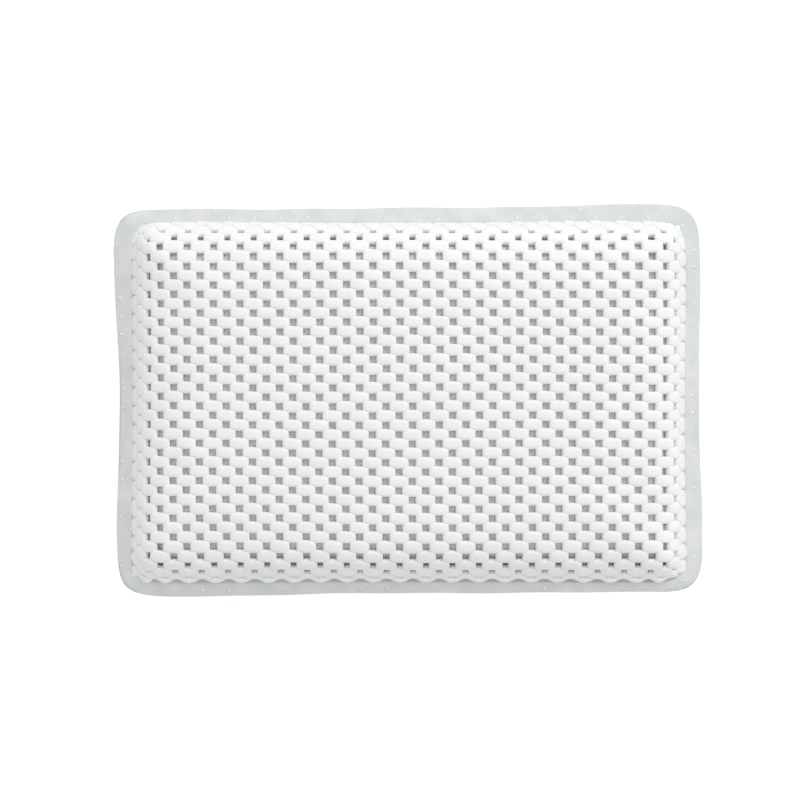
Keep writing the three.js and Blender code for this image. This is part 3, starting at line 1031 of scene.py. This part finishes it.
def speck_places():
    """Where the rows of nubs would come to lie on the hem, as points."""
    columns = np.arange(-SPECK_COLUMNS, SPECK_COLUMNS + 1)
    column, row = np.meshgrid(columns, np.arange(-SPECK_ROWS, SPECK_ROWS + 1))
    u = (column + nub_place(row)).ravel() * NUB_PERIOD + NET_SHIFT[0]
    v = row.ravel() * ROW_PITCH + NET_SHIFT[1]
    over_x, over_y, along = past_middle(u, v)
    push = np.where(u < 0, SPECK_PUSH["left"], SPECK_PUSH["right"])
    for side, sign in (("front", -1), ("back", 1)):
        push = push + (SPECK_PUSH[side] - push) * long_side_share(u, v, sign)
    past = (along - NET_FOOT) * SPECK_CROWDING + push
    kept = (past > SPECK_START) & (past < HEM_WIDTH - SPECK_MARGIN)
    reach = ROLL_WIDTH + past[kept]
    x, y = placed(u[kept], v[kept], over_x[kept], over_y[kept], reach / along[kept])
    plan = np.stack(drawn_in(x, y, reach), axis=-1)
    plan += np.random.default_rng(5).uniform(-SPECK_JITTER, SPECK_JITTER, plan.shape)
    z = HEM_TOP - HEM_RELIEF * (1 - net_relief(plan)) + hem_ripple(plan, hem_share(reach))
    return at_height(plan, z)


def dome(name, width, height, sides=10):
    """A low round dome, closed below."""
    ring = circle((0, 0), width / 2, sides)
    points = [point for wide, high in DOME_RINGS for point in at_height(ring * wide, high * height)]
    points.append((0, 0, height))
    faces = [range(sides - 1, -1, -1)]
    for step in range(sides):
        after = (step + 1) % sides
        faces.append((step, after, sides + after, sides + step))
        faces.append((sides + step, sides + after, 2 * sides))
    return add_object(name, points, faces)


def scatter_tree():
    """Puts a copy of an object on every vertex of another, each with a random size."""
    tree, given = new_group("scattered_specks", "GeometryNodeTree", {
        "Places": "Object", "Speck": "Object", "Smallest": "Float", "Largest": "Float", "Seed": "Int",
        "Material": "Material",
    }, {"Specks": "Geometry"})
    spots = add_node(tree, "GeometryNodeObjectInfo", {"Object": given["Places"]})
    source = add_node(tree, "GeometryNodeObjectInfo", {"Object": given["Speck"]})
    size = add_node(tree, "FunctionNodeRandomValue", {
        2: given["Smallest"], 3: given["Largest"], "Seed": given["Seed"],
    })
    copies = add_node(tree, "GeometryNodeInstanceOnPoints", {
        "Points": spots.outputs["Geometry"], "Instance": source.outputs["Geometry"],
        "Scale": size.outputs[1],
    })
    solid = add_node(tree, "GeometryNodeRealizeInstances", {"Geometry": copies.outputs["Instances"]})
    paint = add_node(tree, "GeometryNodeSetMaterial", {
        "Geometry": solid.outputs["Geometry"], "Material": given["Material"],
    })
    add_node(tree, "NodeGroupOutput", {"Specks": paint.outputs["Geometry"]})
    return tree


places = speck_places()
place_marks = add_object("speck_places", places, [])
speck = dome("speck", SPECK_WIDTH, SPECK_HEIGHT)
specks = made_by_nodes("hem_specks", scatter_tree(), {
    "Places": place_marks, "Speck": speck, "Smallest": SPECK_SIZES[0], "Largest": SPECK_SIZES[1],
    "Seed": 3, "Material": speck_foam,
})
bpy.data.objects.remove(place_marks)
bpy.data.objects.remove(speck)
print(f"specks: {len(places)} on the hem")

# %% [markdown]
# ## The back sheet
# The back is a sheet of satin vinyl, welded to the hem all round. The pad behind it
# pushes it out a little between the suction cups, which hold it in, and the weld leaves
# a shallow groove. The outline and the six holes are triangulated together with a grid
# of points between them, and the heights follow a rule.

# %% Make the back sheet
SHEET_THICKNESS = SHEET_TOP - SHEET_BOTTOM
SHEET_BULGE = 1.4 * MM
WELD_DEPTH = 0.3 * MM
SHEET_GRID = 3.2 * MM
EYELET_RADIUS = 12 * MM
NECK_HOLE = 4.1 * MM
ROUND_STEPS = 40
BULGE_POWER = 4
HOLD_MARGIN = 1 * MM
HOLD_LENGTH = 30 * MM
WELD_PAST_FOOT = 1.5 * MM
WELD_WIDTH = 1.1 * MM
SHEET_RING = {"corner_steps": 16, "long_steps": 90, "short_steps": 54}
SHEET_RING_SHARES = (0.75, 0.5, 0.3, 0.17, 0.04, -0.15)
EYELET_RING_RADII = (6 * MM, 9 * MM, 13 * MM, 17 * MM)
GRID_FROM_FOOT = 5 * MM
GRID_FROM_CUP = 19 * MM


def sheet_bulge(plan):
    """How far the sheet is pushed out: most between the cups, nothing at an eyelet or the hem."""
    inner = np.maximum(0, 1 - (plan / [FOOT_X, FOOT_Y]) ** BULGE_POWER).prod(axis=1)
    hold = np.ones(len(plan))
    for place in cup_places:
        hold *= smooth_step((away_from(place, plan) - EYELET_RADIUS - HOLD_MARGIN) / HOLD_LENGTH)
    return SHEET_BULGE * inner * hold


def weld_groove(plan):
    """The shallow groove that the weld leaves along the foot of the cushion."""
    reach = past_middle(plan[:, 0], plan[:, 1])[2]
    return WELD_DEPTH * np.exp(-((reach - ROLL_WIDTH - WELD_PAST_FOOT) / WELD_WIDTH) ** 2)


def make_back_sheet():
    """The sheet as a closed plate with a hole at every eyelet."""
    outline = cushion_ring(ROLL_WIDTH + HEM_WIDTH, **SHEET_RING)
    loops = [outline] + [circle(place, NECK_HOLE, ROUND_STEPS)[::-1] for place in cup_places]
    inner_rings = [cushion_ring(ROLL_WIDTH + HEM_WIDTH * share, **SHEET_RING) for share in SHEET_RING_SHARES]
    eyelet_rings = [circle(place, radius, ROUND_STEPS)
                    for place in cup_places for radius in EYELET_RING_RADII]
    grid = np.meshgrid(np.arange(-FOOT_X, FOOT_X, SHEET_GRID), np.arange(-FOOT_Y, FOOT_Y, SHEET_GRID))
    grid = np.column_stack([axis.ravel() for axis in grid])
    clear = (np.abs(grid) < [FOOT_X - GRID_FROM_FOOT, FOOT_Y - GRID_FROM_FOOT]).all(axis=1)
    for place in cup_places:
        clear &= away_from(place, grid) > GRID_FROM_CUP
    points = np.concatenate(loops + inner_rings + eyelet_rings + [grid[clear]])
    edges, start = [], 0
    for loop in loops:
        edges += [(start + i, start + (i + 1) % len(loop)) for i in range(len(loop))]
        start += len(loop)
    plan, _, faces, *_ = delaunay_2d_cdt([Vector(point) for point in points], edges, [], 2, 1e-7)
    plan = np.array(plan)
    holes = np.array([[place.x, place.y] for place in cup_places])
    centres = np.array([plan[list(face)].mean(axis=0) for face in faces])
    in_hole = (np.linalg.norm(centres[:, None] - holes, axis=2) < NECK_HOLE * 0.99).any(axis=1)
    faces = [face for face, drop in zip(faces, in_hole) if not drop]
    hem_part = np.clip((np.abs(plan) - [FOOT_X, FOOT_Y]).max(axis=1) / HEM_WIDTH, 0, 1)
    z = SHEET_TOP - sheet_bulge(plan) + weld_groove(plan) + hem_ripple(plan, hem_part)
    return add_object("back_sheet_vinyl", at_height(plan, z), faces)


back = make_back_sheet()
back_shape = bmesh.new()
back_shape.from_mesh(back.data)
bmesh.ops.recalc_face_normals(back_shape, faces=back_shape.faces)
back_shape.to_mesh(back.data)
back_shape.free()
if back.data.polygons[0].normal.z < 0:
    back.data.flip_normals()
back_wall = back.modifiers.new("Thickness", "SOLIDIFY")
back_wall.thickness = SHEET_THICKNESS
back_wall.offset = -1
back_vinyl, _ = finish_with(
    "back_vinyl", VINYL, {"Grains per metre": 1100, "Mottles per metre": 30},
    tones=[(0.66, 0.69, 0.68), (0.74, 0.77, 0.76)], bump_depth=0.12 * MM, roughness=(0.34, 0.48))
back.data.materials.append(back_vinyl)
print(f"back sheet: {len(back.data.polygons)} faces, {len(cup_places)} holes")

# %% [markdown]
# ## Eyelets and suction cups
# An eyelet is a ring of thicker vinyl welded under the sheet so the hole can't tear. A
# suction cup is one clear moulding: a hollow skirt with a thin lip, a collar that stops
# against the eyelet, a neck that turns in it and a mushroom head that was pushed
# through. Both are round, so a section is turned about its own axis. Each cup turns by
# itself, so each is a piece of its own that rides on its own body.

# %% Turn the eyelets and cups
EYELET_TOP = SHEET_BOTTOM
EYELET_THICKNESS = 1.2 * MM
CUP_STEPS = 72
EYELET_EDGE = 0.4 * MM
EYELET_STEP = 0.35 * MM
EYELET_RIM = 0.9 * MM
EYELET_STEP_RADII = (7.6 * MM, 8.1 * MM, 10.9 * MM)
CUP_HOLLOW = 7 * MM
CUP_SKIRT = 8.6 * MM
COLLAR_TOP = 10.5 * MM
CLEAR_TRANSMISSION = 0.8
CLEAR_IOR = 1.5


def turned(name, section, centre, steps=CUP_STEPS):
    """A section of (radius, height) points, turned about a vertical axis through a centre."""
    turn = np.arange(steps) * 2 * math.pi / steps
    points, faces, rows = [], [], []
    for radius, z in section:
        if radius < 1e-7:
            rows.append([len(points)] * steps)
            points.append((centre[0], centre[1], z))
            continue
        rows.append([len(points) + i for i in range(steps)])
        points += [(centre[0] + radius * math.cos(a), centre[1] + radius * math.sin(a), z) for a in turn]
    for low, high in zip(rows, rows[1:]):
        for i in range(steps):
            j = (i + 1) % steps
            corners = [low[i], low[j], high[j], high[i]]
            faces.append(list(dict.fromkeys(corners)))
    return add_object(name, points, faces)


def eyelet_section():
    """Round-edged ring with a pressed step, from its bore round to its bore again."""
    low, high = EYELET_TOP - EYELET_THICKNESS, EYELET_TOP
    inner, outer, edge, step = NECK_HOLE, EYELET_RADIUS, EYELET_EDGE, low + EYELET_STEP
    step_from, step_to, step_out = EYELET_STEP_RADII
    bore_edge = bend((inner, low + edge), (inner, low), (inner + edge, low), 4)[1:]
    rim = bend((outer - edge, step), (outer, low + edge), (outer, low + EYELET_RIM), 4)
    return [(inner, high), (inner, low + edge), *bore_edge, (step_from, low), (step_to, step),
            (step_out, step), *rim, (outer, high), (inner, high)]


def cup_section(box_low, box_high):
    """The suction cup's section, from the middle of its hollow round to the top of its head."""
    lip, top = (box_high.x - box_low.x) / 2, box_high.z
    hollow, skirt, collar = CUP_HOLLOW, CUP_SKIRT, COLLAR_TOP
    inside = bend((0, hollow), (11.2 * MM, hollow), (lip - 2 * MM, 0.05 * MM), 22)
    seat = [(lip - 1.2 * MM, 0), (lip - 0.3 * MM, 0)]
    lip_edge = bend((lip - 0.1 * MM, 0.05 * MM), (lip, 0.4 * MM), (lip - 0.15 * MM, 0.8 * MM), 4)
    outside = bend((lip - 0.3 * MM, 0.9 * MM), (12.8 * MM, skirt), (7.6 * MM, skirt), 22)
    collar_foot = bend((7.4 * MM, skirt), (7 * MM, skirt), (7 * MM, skirt + 0.4 * MM), 4)
    collar_edge = bend((7 * MM, collar - 0.3 * MM), (7 * MM, collar), (6.7 * MM, collar), 4)
    neck = [(4.1 * MM, collar), (3.7 * MM, collar + 0.3 * MM), (3.7 * MM, SHEET_TOP + 0.15 * MM)]
    under_head = [(3.9 * MM, SHEET_TOP + 0.3 * MM), (6.2 * MM, SHEET_TOP + 0.3 * MM)]
    head = bend((6.45 * MM, SHEET_TOP + 0.5 * MM), (6.6 * MM, top), (0, top), 14)
    return [*inside, *seat, *lip_edge, *outside, *collar_foot, *collar_edge, *neck, *under_head, *head]


clear_vinyl, clear_shader = finish_with(
    "clear_vinyl", VINYL, {"Grains per metre": 260, "Mottles per metre": 80},
    tones=[(0.82, 0.89, 0.875), (0.88, 0.94, 0.93)], bump_depth=0.02 * MM, roughness=(0.1, 0.2))
clear_shader.inputs["Transmission Weight"].default_value = CLEAR_TRANSMISSION
clear_shader.inputs["IOR"].default_value = CLEAR_IOR

eyelets, cups = [], []
for number, place in enumerate(cup_places, start=1):
    eyelet = turned(f"eyelet_{number}_ring", eyelet_section()[::-1], place)
    eyelet.data.materials.append(back_vinyl)
    eyelets.append(eyelet)
    cup = turned(f"suction_cup_{number}_clear", cup_section(*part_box(f"suction_cup_{number}")), place)
    cup.data.materials.append(clear_vinyl)
    cups.append(cup)
print(f"{len(eyelets)} eyelets and {len(cups)} suction cups, {len(cups[0].data.polygons)} faces a cup")

# %% [markdown]
# ## What each piece stands for
# Every piece rides on the body that carries it and hides the plain solid that it stands for.

# %% Tie the pieces to the frame
for piece, nodes, finish in [
    (net, ["mesh_cover"], "foam_mesh"),
    (hem, ["mesh_cover"], "pressed_hem"),
    (specks, [], "foam_mesh"),
    (pad, ["foam_core"], "core_foam"),
    (back, ["back_sheet"], "vinyl_sheet"),
    *[(eyelet, [f"eyelet_{number}"], "vinyl_sheet") for number, eyelet in enumerate(eyelets, start=1)],
]:
    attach(piece, "pillow")
    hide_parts(*nodes)
for number, cup in enumerate(cups, start=1):
    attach(cup, f"cup_{number}")
    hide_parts(f"suction_cup_{number}")

# %% [markdown]
# ## Floor, light and camera
# The pillow lies on its cups on a plain white floor and is seen from straight above. A
# broad lamp up behind models the nubs, and the world fills the shadows. The floor is lit
# like any surface and glows a little where it is seen, so it is white and keeps the
# shadow. The world, too, is white where it is seen, but lights the pillow less.

# %% Set the stage
CAMERA_DISTANCE = 1.0
FRAME_WIDTH = 0.4143
CAMERA_OFFSET = (-4.1 * MM, 0.4 * MM)
SENSOR = 36
FLOOR_GLOW = 0.6
SKY_LIGHT = 0.73
SKY_SEEN = 1.0
FLOOR_HALF = 4.0
KEY_PLACE = (1.15, 1.85, 1.9)
KEY_TARGET = (0, 0, 0.02)
KEY_SIZE = 1.2
KEY_POWER = 32


def strength_by_ray(tree, lighting, seen):
    """One strength for lighting the scene, and another where it is seen, also in gloss and glass."""
    path = add_node(tree, "ShaderNodeLightPath").outputs
    strength = lighting
    for ray in ("Is Camera Ray", "Is Glossy Ray", "Is Transmission Ray"):
        choose = add_node(tree, "ShaderNodeMix", {"Factor": path[ray], "A": strength, "B": seen})
        strength = choose.outputs["Result"]
    return strength


def floor_material():
    """White floor that keeps shadows: lit as paper is, with a little glow where it is seen."""
    material, tree, shader = new_material("floor_white")
    shader.inputs["Base Color"].default_value = (0.9, 0.9, 0.9, 1)
    shader.inputs["Roughness"].default_value = 1
    shader.inputs["Specular IOR Level"].default_value = 0
    shader.inputs["Emission Color"].default_value = (1, 1, 1, 1)
    link = tree.links.new
    link(strength_by_ray(tree, 0, FLOOR_GLOW), shader.inputs["Emission Strength"])
    side = add_node(tree, "ShaderNodeNewGeometry")
    clear = add_node(tree, "ShaderNodeBsdfTransparent")
    mix = add_node(tree, "ShaderNodeMixShader", {
        "Fac": side.outputs["Backfacing"], 1: shader.outputs["BSDF"], 2: clear.outputs["BSDF"],
    })
    output = next(node for node in tree.nodes if node.type == "OUTPUT_MATERIAL")
    link(mix.outputs["Shader"], output.inputs["Surface"])
    return material


floor_corners = [(-1, -1), (1, -1), (1, 1), (-1, 1)]
floor = add_object("floor", [(x * FLOOR_HALF, y * FLOOR_HALF, 0) for x, y in floor_corners], [range(4)])
floor.data.materials.append(floor_material())


key_light = bpy.data.lights.new("key_lamp", "AREA")
key_light.size = KEY_SIZE
key_light.energy = KEY_POWER
key_lamp = bpy.data.objects.new("key_lamp", key_light)
key_lamp.location = KEY_PLACE
key_lamp.rotation_euler = (Vector(KEY_TARGET) - Vector(KEY_PLACE)).to_track_quat("-Z", "Y").to_euler()
bpy.context.scene.collection.objects.link(key_lamp)

world = bpy.data.worlds.new("studio")
bpy.context.scene.world = world
world.use_nodes = True
background = next(node for node in world.node_tree.nodes if node.type == "BACKGROUND")
background.inputs["Color"].default_value = (1, 1, 1, 1)
sky_strength = strength_by_ray(world.node_tree, SKY_LIGHT, SKY_SEEN)
world.node_tree.links.new(sky_strength, background.inputs["Strength"])

camera_data = bpy.data.cameras.new("camera")
camera_data.sensor_width = SENSOR
camera_data.lens = SENSOR * CAMERA_DISTANCE / FRAME_WIDTH
camera = bpy.data.objects.new("camera", camera_data)
camera.location = (*CAMERA_OFFSET, HEM_TOP + CAMERA_DISTANCE)
bpy.context.scene.collection.objects.link(camera)
bpy.context.scene.camera = camera
bpy.context.scene.view_settings.view_transform = "Standard"
print(f"camera: {camera_data.lens:.1f} mm lens, {CAMERA_DISTANCE} m above the hem")

# %% Finish
bpy.context.view_layer.update()
